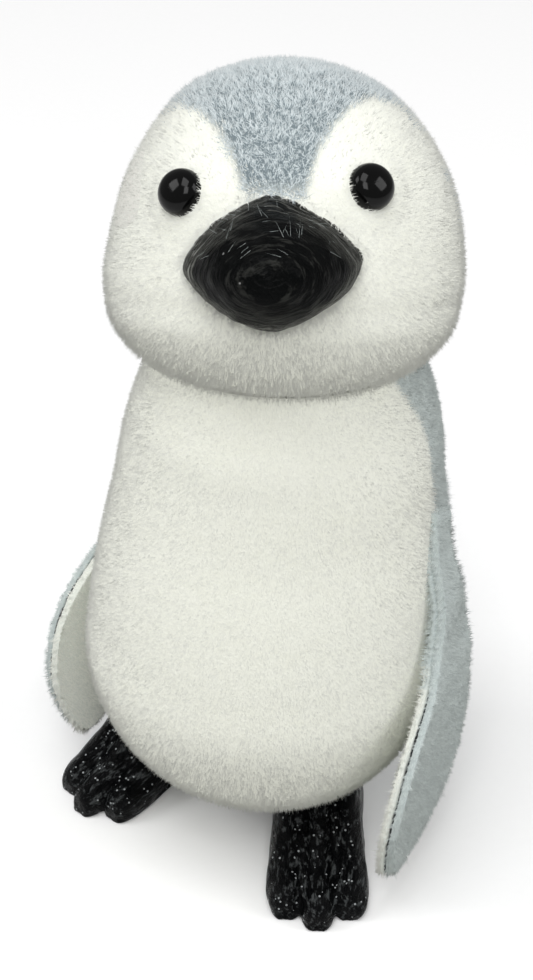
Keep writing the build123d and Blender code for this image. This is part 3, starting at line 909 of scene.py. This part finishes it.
    def build_skin(self) -> bpy.types.Object:
        """The cloth under the head's pile."""
        skin = ball("head_backing", 180, 136)
        ways = places_of(skin)
        inset = 0.15 + (self.pile - 0.15) * smooth_step(self.form(ways, self.pile)[:, 2], -10.0, -6.0)
        local = self.form(ways, inset)
        local += ways * self.socket(local)[:, None]
        put_places(skin, self.placed(local))
        paint_tone(skin, smooth_step(self.tone(self.local(places_of(skin))), -0.7, 0.7))
        dress(skin, "head", Coat.WHITE.value, CROWN_SKIN.material(), "face_skin", "crown_skin")
        return skin

    def build_pile(self, skin: bpy.types.Object, torso: "Torso") -> None:
        """White fibres on the face and grey ones on the crown, mingled where they meet."""
        pile = Pile(11)
        root, normal = pile.scatter(skin, self.per_mm2)
        local = self.local(root)
        rng = np.random.default_rng(12)
        keep = ~self.beak_outline(local, -0.35) & (self.eye_distance(local) > self.eye_radius - 0.1)
        root, normal, local = root[keep], normal[keep], local[keep]
        edge = self.tone(local) + rng.normal(size=len(local)) * 0.45 + Swirl(13, 1.5).at(root)[:, 0] * 0.3
        grey = edge > 0
        near = (self.eye_distance(local) < self.eye_radius + 0.8) | self.beak_outline(local, 0.9)
        chosen = grey | near | (rng.random(len(grey)) < self.white_share)
        root, normal, local, grey = root[chosen], normal[chosen], local[chosen], grey[chosen]
        down = np.array([0.0, 0.0, -1.0]) - normal * (-normal[:, 2:3])
        under = smooth_step(-normal[:, 2], 0.05, 0.75)
        length = np.where(grey, 0.85, 0.72 + 0.35 * under)
        from_beak = local * np.array([1.0, 0.0, 1.0])
        from_beak /= np.maximum(np.linalg.norm(from_beak, axis=1, keepdims=True), 1.0)
        front = smooth_step(-local[:, 1], 2.0, 14.0)[:, None]
        away = from_beak @ self.pose().T
        away = away - normal * (away * normal).sum(axis=1, keepdims=True)
        comb = down * (0.16 + 0.30 * under[:, None]) + away * front * 0.22
        turn = self.eye_distance(local)
        rim = (1.0 - smooth_step(turn, self.eye_radius, self.eye_radius + 0.8))[:, None]
        to_eye = self.eye_way(local, normal) @ self.pose()
        inner = np.clip(0.2 + np.sign(local[:, 0]) * to_eye[:, 0] + 0.4 * to_eye[:, 2], 0.0, 1.0)
        comb += self.eye_way(local, normal) * rim * 0.6 * inner[:, None]
        length = length * (1.0 + 0.7 * rim[:, 0] * inner)
        edge_of_beak = (self.beak_outline(local, 0.8) & (local[:, 1] < 0))[:, None]
        comb = np.where(edge_of_beak, comb - away * 0.55, comb)
        length = np.where(edge_of_beak[:, 0], length * 3.0, length)
        pressed = torso.fullness(root + normal * 0.8 * MM) <= 0.95
        length = np.where(pressed, length * 0.5, length)
        white_pile = Pile(21)
        white_pile.grow("face_pile", root[~grey], normal[~grey], length[~grey], comb[~grey], WHITE_FIBRE, "head")
        grey_pile = Pile(31, width_mm=0.115, clump=0.5, clump_mm=0.25, jitter=0.55, soft=0.5)
        grey_pile.grow("crown_pile", root[grey], normal[grey], length[grey], comb[grey], CROWN_FIBRE, "head")

    def build_beak(self) -> None:
        """The blunt beak: a bowed diamond that rounds over to a full front, with a wrinkled film and a painted
        reflection on its lower rim.
        """
        beak = ball("beak_moulding", 160, 120)
        ways = places_of(beak)
        around = np.arctan2(ways[:, 2], ways[:, 0])
        reach = np.clip(np.arccos(np.clip(ways[:, 1], -1.0, 1.0)) / math.pi, 0.0, 1.0)
        size = table_curve(np.array(self.BEAK_SECTIONS), reach)
        size = np.where(reach < 0.02, size * reach / 0.02, np.maximum(size, 0.0))
        cosine, sine = np.cos(around), np.sin(around)
        tall = np.where(sine >= 0, self.beak_rise, self.beak_fall)
        power = np.where(sine >= 0, 1.40, 1.56) + 0.5 * smooth_step(reach, 0.35, 0.85)
        length = (np.abs(cosine) ** power + np.abs(sine) ** power) ** (-1.0 / power)
        x = self.beak_width / 2 * size * length * cosine
        z = tall * size * length * sine
        depth = self.beak_root + self.beak_length
        x = x - self.beak_offset
        y = -(self.radius - self.beak_root) - depth * reach
        z = z - self.beak_droop * reach
        turn = math.radians(self.roll)
        rolled = np.stack(
            [x * math.cos(turn) - z * math.sin(turn), y, x * math.sin(turn) + z * math.cos(turn)], 1
        )
        put_places(beak, self.placed(rolled))
        lay_grain(beak, np.stack([x * 0.4, y * 2.6, z * 0.4], 1) * MM)
        # The ring round the beak's root is lighter, most below and to the left: a painted reflection of the pale floor,
        # laid into the dust streaks.
        lip_reflection = 1.0 - smooth_step(reach, 0.46, 0.62)
        low = 0.35 + 0.65 * smooth_step(-sine - 0.5 * cosine, -0.35, 0.35)
        paint_tone(beak, np.maximum(lip_reflection * low, 0.06))
        hold(beak)
        bpy.ops.object.mode_set(mode="EDIT")
        bpy.ops.mesh.select_all(action="SELECT")
        bpy.ops.mesh.remove_doubles(threshold=0.00002)
        bpy.ops.mesh.normals_make_consistent(inside=False)
        bpy.ops.object.mode_set(mode="OBJECT")
        places = places_of(beak)
        wrinkle = Swirl(41, 0.7).at(places)[:, 0] * 0.05 + Swirl(42, 2.0).at(places)[:, 0] * 0.10
        put_places(beak, places + normals_of(beak) * wrinkle[:, None] * MM)
        dress(beak, "head", "black_gloss", BEAK_PAINT.material(), "beak")
        lint = Pile(43, width_mm=0.03, jitter=0.8, stray=0.0)
        root, normal = lint.scatter(beak, 0.24)
        local = self.local(root)
        keep = (local[:, 2] > 1.0) & (local[:, 1] < -self.radius + 1.0)
        root, normal = root[keep], normal[keep]
        flat = Swirl(44, 1.2).at(root)
        flat = flat - normal * (flat * normal).sum(axis=1, keepdims=True)
        flat /= np.linalg.norm(flat, axis=1, keepdims=True)
        lint.grow("beak_lint", root, normal, np.full(len(root), 2.3), flat * 3.8, GREY_FIBRE, "head")

    def build_eyes(self) -> None:
        """The half-round eyes keep their solids and get a polished finish."""
        for side in Side:
            finish_node(side.word + "_eye", EYE_GLOSS)

    def build(self, torso: "Torso") -> None:
        """Builds the whole head, which sits in the torso's hollow."""
        skin = self.build_skin()
        self.build_pile(skin, torso)
        self.build_beak()
        self.build_eyes()
        finish_node("head_core", FOAM)
        finish_node("neck_post", NECK)


def finish_node(node: str, finish: PlainFinish) -> None:
    """Gives a solid that stays in view its finish."""
    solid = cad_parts[node]
    solid.data.materials.clear()
    solid.data.materials.append(finish.material())


@dataclass
class Torso:
    """The pear-shaped body with its white belly and grey back, the feet and the tail, in millimetres."""

    head: Head
    clearance: float = 8.6
    height: float = 77.4
    width: float = 52.8
    depth: float = 51.6
    lean: float = 3.0
    pile: float = 0.55
    per_mm2: float = 22.0
    white_share: float = 0.45
    path_gap: float = 1.0
    staple_sink: float = 1.7

    hinge_mm = (22.8738, 8.46876, 57.0)
    foot_turn = {Side.LEFT: 33.0, Side.RIGHT: 7.0}
    SECTIONS = (
        (0.000, 0.305, 0.30, -0.35), (0.028, 0.492, 0.49, -0.40), (0.069, 0.674, 0.67, -0.45),
        (0.132, 0.835, 0.83, -0.55), (0.209, 0.943, 0.94, -0.60), (0.298, 1.000, 1.00, -0.60),
        (0.411, 0.982, 0.99, -0.35), (0.537, 0.940, 0.965, 0.12), (0.663, 0.880, 0.92, 0.62),
        (0.772, 0.835, 0.875, 0.92), (0.841, 0.775, 0.84, 1.00), (0.881, 0.735, 0.79, 1.00),
        (1.000, 0.62, 0.66, 1.00),
    )
    SEAM = ((0.0, 0.10), (0.18, 0.12), (0.37, 0.14), (0.68, 0.145), (0.84, 0.13), (0.94, 0.06), (1.0, 0.02))

    def fullness(self, places: np.ndarray) -> np.ndarray:
        """How far out places lie from the body's middle line, with 1 on its surface and more above it."""
        table = np.array(self.SECTIONS)
        share = (places[:, 2] / MM - self.clearance) / self.height
        inside = np.clip(share, 0.0, 1.0)
        wide = np.interp(inside, table[:, 0], table[:, 1]) * self.width / 2
        deep = np.interp(inside, table[:, 0], table[:, 2]) * self.depth / 2
        middle = np.interp(inside, table[:, 0], table[:, 3]) * self.lean
        out = np.hypot(places[:, 0] / MM / wide, (places[:, 1] / MM - middle) / deep)
        return np.where((share < 0.0) | (share > 1.0), 2.0, out)

    def side_x(self, y: np.ndarray, z: np.ndarray) -> np.ndarray:
        """How far out the body's side lies at some depths and heights, all in millimetres."""
        table = np.array(self.SECTIONS)
        share = np.clip((z - self.clearance) / self.height, 0.0, 1.0)
        wide = np.interp(share, table[:, 0], table[:, 1]) * self.width / 2
        deep = np.interp(share, table[:, 0], table[:, 2]) * self.depth / 2
        middle = np.interp(share, table[:, 0], table[:, 3]) * self.lean
        return wide * np.sqrt(np.clip(1.0 - ((y - middle) / deep) ** 2, 0.0, 1.0))

    def tone(self, places: np.ndarray) -> np.ndarray:
        """How far a place lies inside the grey back, in millimetres, negative on the belly."""
        share = (places[:, 2] / MM - self.clearance) / self.height
        seam = table_curve(np.array(self.SEAM), np.clip(share, 0.0, 1.0)) * self.depth
        return places[:, 1] / MM - seam

    def build_skin(self) -> bpy.types.Object:
        """The cloth under the body's pile."""
        skin = ball("body_backing", 160, 140)
        ways = places_of(skin)
        table = np.array(self.SECTIONS)
        run = np.concatenate([[0.0], np.cumsum(np.hypot(np.diff(table[:, 0]) * self.height, np.diff(table[:, 1]) * self.width / 2))])
        low, high = table[0, 1] * self.width / 2, table[-1, 1] * self.width / 2
        total = low + run[-1] + high
        along = (np.arcsin(np.clip(ways[:, 2], -1.0, 1.0)) / math.pi + 0.5) * total - low
        share = np.interp(along, run, table[:, 0])
        around = np.arctan2(ways[:, 1], ways[:, 0])
        fill = np.where(along < 0, 1.0 + along / low, np.where(along > run[-1], (total - low - along) / high, 1.0))
        wide = table_curve(table[:, [0, 1]], share) * self.width / 2 * fill
        deep = table_curve(table[:, [0, 2]], share) * self.depth / 2 * fill
        middle = table_curve(table[:, [0, 3]], share) * self.lean
        local = np.stack(
            [np.cos(around) * wide, middle + np.sin(around) * deep, self.clearance + share * self.height], 1
        )
        put_places(skin, local * MM)
        shrink(skin, self.pile)
        near = self.head.local(places_of(skin))
        away, way = self.head.distance(near)
        push = np.clip(self.head.gap * 0.4 - away, 0.0, None)
        near = near + way * push[:, None]
        floor = -(self.head.beak_fall + self.head.beak_droop + self.path_gap)
        path = np.hypot(near[:, 0], near[:, 1]) < self.head.radius + self.head.beak_length + self.path_gap
        near[:, 2] = np.where(path, np.minimum(near[:, 2], floor), near[:, 2])
        put_places(skin, self.head.placed(near))
        paint_tone(skin, smooth_step(self.tone(places_of(skin)), -0.7, 0.7))
        dress(skin, "torso", Coat.WHITE.value, SKIN.material(), "belly_skin", "back_skin")
        return skin

    def build_pile(self, skin: bpy.types.Object) -> None:
        """White fibres on the belly and grey ones on the back."""
        root, normal = Pile(51).scatter(skin, self.per_mm2)
        rng = np.random.default_rng(52)
        keep = self.head.distance(self.head.local(root))[0] > self.head.gap * 0.4 + 0.15
        root, normal = root[keep], normal[keep]
        edge = self.tone(root) + rng.normal(size=len(root)) * 0.45 + Swirl(53, 1.5).at(root)[:, 0] * 0.3
        grey = edge > 0
        hinge = np.abs(root[:, :1]) / MM - self.hinge_mm[0]
        hinge = np.linalg.norm(np.concatenate([hinge, root[:, 1:] / MM - np.array(self.hinge_mm[1:])], 1), axis=1)
        chosen = grey | (rng.random(len(grey)) < self.white_share)
        root, normal, grey, hinge = root[chosen], normal[chosen], grey[chosen], hinge[chosen]
        down = np.array([0.0, 0.0, -1.0]) + normal * normal[:, 2:3]
        ripple = Swirl(54, 5.0).at(root) * 0.08
        comb = down * 0.20 + ripple
        length = np.where(grey, 0.75, 0.62) + 0.35 * smooth_step(-normal[:, 2], 0.3, 0.9)
        length = length + np.where(grey, 0.7, 0.1) * (1.0 - smooth_step(hinge, 5.0, 7.5))
        Pile(61).grow(
            "belly_pile", root[~grey], normal[~grey], length[~grey], comb[~grey], WHITE_FIBRE, "torso"
        )
        Pile(71, clump=0.3, clump_mm=0.35, jitter=0.26).grow(
            "back_pile", root[grey], normal[grey], length[grey], comb[grey], GREY_FIBRE, "torso"
        )

    def build_feet(self) -> None:
        """The moulded feet, with lengthwise ridges and a lumpy coat of paint."""
        for side in Side:
            node = side.word + "_foot"
            foot = copy_node(side.word + "_foot_moulding", node, 0.28)
            places, normals = places_of(foot), normals_of(foot)
            lump = Swirl(81 + side.value, 0.9).at(places)[:, 0] * 0.06 + Swirl(85, 2.2).at(places)[:, 0] * 0.10
            lump = np.where(places[:, 2] < 0.0006, 0.0, lump)
            put_places(foot, places + normals * lump[:, None] * MM)
            turn = math.radians(self.foot_turn[side])
            along = places[:, 0] * math.sin(turn) * side.value - places[:, 1] * math.cos(turn)
            across = places[:, 0] * math.cos(turn) + places[:, 1] * math.sin(turn) * side.value
            lay_grain(foot, np.stack([across * 1.6, along * 0.35, places[:, 2] * 1.4], 1))
            # A steady half share of grey streaks along the ridges: dust and painted glints.
            paint_tone(foot, np.full(len(places), 0.5))
            dress(foot, "torso", "black_gloss", FOOT_PAINT.material(), node)

    def build_tail(self) -> None:
        """The stub of a tail, in the back's grey pile."""
        tail = copy_node("tail_backing", "tail", 0.5)
        shrink(tail, self.pile * 0.8)
        paint_tone(tail, np.ones(len(tail.data.vertices)))
        dress(tail, "torso", Coat.GREY.value, SKIN.material(), "tail")
        pile = Pile(91, clump=0.5)
        root, normal = pile.scatter(tail, 20.0)
        down = np.array([0.0, 0.4, -1.0]) - normal * (normal @ np.array([0.0, 0.4, -1.0]))[:, None]
        pile.grow("tail_pile", root, normal, np.full(len(root), 1.1), down * 0.5, GREY_FIBRE, "torso")

    def build(self) -> None:
        """Builds the whole torso."""
        skin = self.build_skin()
        self.build_pile(skin)
        self.build_feet()
        self.build_tail()
        for node, finish in (
            ("body_core", FOAM),
            ("base_disc", CARD),
            ("neck_sleeve", NECK),
            ("neck_washer", FELT),
        ):
            finish_node(node, finish)
        self.build_staples()

    def build_staples(self) -> None:
        """The wire staples, pressed into the pile."""
        for side in Side:
            node = side.word + "_shoulder_staple"
            staple = bpy.data.objects.new(node + "_wire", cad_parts[node].data.copy())
            bpy.context.scene.collection.objects.link(staple)
            put_places(staple, places_of(staple) - np.array([side.value * self.staple_sink * MM, 0.0, 0.0]))
            dress(staple, "torso", "wire", WIRE.material(), node)


@dataclass
class Flipper:
    """A thin flipper of two piled layers on a card."""

    side: Side
    torso: Torso
    fused_mm: tuple[float, float] = (36.0, 43.0)
    half_mm: float = 1.5
    inset_mm: float = 0.3
    hinge_way: Colour = (0.142999, -0.902858, 0.405461)
    seam_inset: float = 0.42
    sink_mm: float = 1.1
    # How far the inner cloth is tinted towards grey: a painted shade for the body's shadow on the inner face.
    inner_painted_shade: float = 0.4
    per_mm2: float = 21.0

    def hug(self, piece: bpy.types.Object) -> None:
        """Draws the upper blade in, so that it lies on the body's side."""
        card = places_of(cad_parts[self.side.word + "_flipper_card"]) / MM
        places = places_of(piece) / MM

        def terms(rows: np.ndarray) -> np.ndarray:
            y, z = rows[:, 1] / 10.0, rows[:, 2] / 10.0
            return np.stack([np.ones(len(y)), y, z, y * y, y * z, z * z, z**3, y * z * z], 1)

        fit = np.linalg.lstsq(terms(card), np.abs(card[:, 0]), rcond=None)[0]
        slack = terms(places) @ fit - self.half_mm - self.torso.side_x(places[:, 1], places[:, 2])
        push = np.clip(slack, 0.0, None) * smooth_step(places[:, 2], *self.fused_mm)
        push = push + self.sink_mm * smooth_step(places[:, 2], 43.0, 54.0)
        places[:, 0] -= self.side.value * push
        put_places(piece, places * MM)

    def fused(self, places: np.ndarray) -> np.ndarray:
        """1 on the upper blade, which shares the back's grey, and 0 below."""
        return smooth_step(places[:, 2] / MM + Swirl(131, 1.6).at(places)[:, 0] * 0.8, 36.5, 40.5)

    def build_layer(self, layer: str, coat: Coat, finish: PileFinish, outward: float) -> None:
        """One layer: its cloth and its pile.

        Args:
            layer: The layer's word in node names.
            coat: Its colour.
            finish: The finish of its fibres.
            outward: Which way it faces, 1 for away from the body.
        """
        body = self.side.word + "_flipper"
        node = f"{body}_{layer}"
        skin = copy_node(node + "_backing", node, 0.3)
        normals = normals_of(skin)
        closed = -self.inset_mm - 0.2 * self.fused(places_of(skin))
        inset = np.where(normals[:, 0] * self.side.value * outward > -0.25, self.inset_mm, closed)
        put_places(skin, places_of(skin) - normals * inset[:, None] * MM)
        self.hug(skin)
        # The inner layer's cloth is tinted part way to grey, a painted shade for the shadow that the body casts on it.
        grey = 1.0 if coat is Coat.GREY else self.inner_painted_shade
        paint_tone(skin, np.maximum(self.fused(places_of(skin)), grey))
        dress(skin, body, coat.value, SKIN.material(), node)
        pile = Pile(101 + self.side.value + 10 * int(outward), width_mm=0.12, clump=0.3, clump_mm=0.3, jitter=0.35)
        root, normal = pile.scatter(skin, self.per_mm2)
        facing = normal[:, 0] * self.side.value * outward
        keep = facing > -0.25
        root, normal, facing = root[keep], normal[keep], facing[keep]
        down = np.array([0.0, -0.35, -0.94])
        comb = (down - normal * (normal @ down)[:, None]) * 0.3
        length = np.where(facing > 0.6, 0.62, 0.95 + 0.2 * self.fused(root))
        grey = self.fused(root) > np.random.default_rng(132).random(len(root))
        if coat is Coat.WHITE and grey.any():
            pile.grow(
                f"{body}_{layer}_root_pile", root[grey], normal[grey], length[grey], comb[grey], GREY_FIBRE, body
            )
            root, normal, length, comb = root[~grey], normal[~grey], length[~grey], comb[~grey]
        pile.grow(f"{body}_{layer}_pile", root, normal, length, comb, finish, body)

    def build_card(self) -> None:
        """The card between the layers, drawn in to a thin dark seam, with grey pile round its rolled root."""
        body = self.side.word + "_flipper"
        node = body + "_card"
        card = bpy.data.objects.new(node + "_seam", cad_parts[node].data.copy())
        bpy.context.scene.collection.objects.link(card)
        hold(card)
        bpy.ops.object.mode_set(mode="EDIT")
        bpy.ops.mesh.select_all(action="SELECT")
        bpy.ops.mesh.remove_doubles(threshold=0.000002)
        bpy.ops.object.mode_set(mode="OBJECT")
        places = places_of(card)
        hinge = np.array([self.side.value * self.torso.hinge_mm[0], *self.torso.hinge_mm[1:]]) * MM
        axis = np.array([self.side.value * self.hinge_way[0], *self.hinge_way[1:]])
        away = places - hinge
        away = np.linalg.norm(away - (away @ axis)[:, None] * axis, axis=1)
        blade = smooth_step(away / MM, 2.2, 3.0)
        put_places(card, places - normals_of(card) * (blade * self.seam_inset * MM)[:, None])
        self.hug(card)
        paint_tone(card, np.maximum(1.0 - smooth_step(away / MM, 3.0, 5.0), self.fused(places_of(card))))
        dress(card, body, "card", CARD_SEAM.material(), node)
        pile = Pile(121 + self.side.value)
        root, normal = pile.scatter(card, 26.0)
        out = root - hinge
        along = out @ axis
        out = out - along[:, None] * axis
        reach = np.linalg.norm(out, axis=1)
        facing = (out * normal).sum(axis=1) / reach
        keep = (reach < 2.0 * MM) & (reach > 1.1 * MM) & (facing > 0.5)
        root, normal = root[keep], normal[keep]
        down = np.array([0.0, -0.35, -0.94])
        comb = (down - normal * (normal @ down)[:, None]) * 0.5
        pile.grow(body + "_root_pile", root, normal, np.full(len(root), 0.7), comb, GREY_FIBRE, body)

    def build(self) -> None:
        """Builds both layers and the card between them."""
        self.build_layer("outer", Coat.GREY, GREY_FIBRE, 1.0)
        self.build_layer("inner", Coat.WHITE, WHITE_FIBRE, -1.0)
        self.build_card()


@dataclass
class Studio:
    """The plain pale floor, soft light and camera."""

    camera_mm: Colour = (147.69, -220.11, 250.60)
    view_turn: float = 34.0
    view_rise: float = 36.0
    focal_px: float = 2333.0
    floor_size: float = 6.0

    def build_floor(self) -> None:
        """A wide floor that stays white in view and keeps the shadow."""
        deselect()
        bpy.ops.mesh.primitive_plane_add(size=self.floor_size, location=(0.0, 0.0, 0.0))
        floor = bpy.context.object
        floor.name = "floor"
        material, shader, tree = new_material("floor_paper")
        vector = add_mapping(tree, (1.0, 1.0, 1.0))
        grain = add_noise(tree, vector, 700.0, 2.0)
        paper = add_mix(tree, "MIX", grain, (0.98, 0.98, 0.98), (1.0, 1.0, 1.0))
        path = tree.nodes.new("ShaderNodeLightPath")
        seen = path.outputs["Is Camera Ray"]
        for word in ("Is Glossy Ray", "Is Transmission Ray"):
            either = tree.nodes.new("ShaderNodeMath")
            either.operation = "MAXIMUM"
            tree.links.new(seen, either.inputs[0])
            tree.links.new(path.outputs[word], either.inputs[1])
            seen = either.outputs[0]
        tree.links.new(add_mix(tree, "MIX", seen, (0.56, 0.56, 0.54), paper), shader.inputs["Base Color"])
        shader.inputs["Roughness"].default_value = 0.9
        shader.inputs["Specular IOR Level"].default_value = 0.0
        floor.data.materials.append(material)

    def add_lamp(self, name: str, place: Colour, aim: Colour, size: float, power: float) -> None:
        """Adds a soft square lamp.

        Args:
            name: The lamp's name.
            place: Where it stands, in metres.
            aim: What it points at.
            size: The length of its side.
            power: Its power in watts.
        """
        data = bpy.data.lights.new(name, "AREA")
        data.shape = "SQUARE"
        data.size = size
        data.energy = power
        lamp = bpy.data.objects.new(name, data)
        lamp.location = place
        lamp.rotation_euler = (Vector(aim) - Vector(place)).to_track_quat("-Z", "Y").to_euler()
        bpy.context.scene.collection.objects.link(lamp)

    def build_light(self) -> None:
        """An even surround with large soft lamps above, in front and at both sides."""
        world = bpy.data.worlds.new("studio")
        world.use_nodes = True
        background = world.node_tree.nodes["Background"]
        background.inputs["Color"].default_value = (1.0, 1.0, 1.0, 1.0)
        background.inputs["Strength"].default_value = 0.34
        bpy.context.scene.world = world
        aim = (0.0, 0.0, 0.06)
        self.add_lamp("front_softbox", (0.38, -0.60, 0.86), aim, 0.45, 3.5)
        self.add_lamp("top_softbox", (0.02, -0.25, 1.10), aim, 0.6, 5.0)
        self.add_lamp("left_softbox", (-0.80, -0.62, 0.95), aim, 0.5, 3.7)
        self.add_lamp("right_softbox", (0.92, 0.36, 0.75), aim, 0.5, 3.2)

    def build_camera(self) -> None:
        """The camera at the photograph's viewing angle."""
        data = bpy.data.cameras.new("camera")
        data.sensor_width = SENSOR_MM
        data.lens = self.focal_px * SENSOR_MM / PHOTO_HEIGHT_PX
        data.clip_start = 0.01
        camera = bpy.data.objects.new("camera", data)
        turn, rise = math.radians(self.view_turn), math.radians(self.view_rise)
        camera.location = Vector(self.camera_mm) * MM
        camera.rotation_euler = (math.pi / 2 - rise, 0.0, turn)
        bpy.context.scene.collection.objects.link(camera)
        bpy.context.scene.camera = camera

    def build(self) -> None:
        """Builds the whole studio."""
        self.build_floor()
        self.build_light()
        self.build_camera()
        bpy.context.scene.view_settings.view_transform = "Standard"


def main() -> None:
    """Builds the sub-assemblies in order and notes the sizes."""
    logging.basicConfig(level=logging.INFO)
    Studio().build()
    head = Head()
    torso = Torso(head)
    torso.build()
    head.build(torso)
    for side in Side:
        Flipper(side, torso).build()


if __name__ == "__main__":
    main()
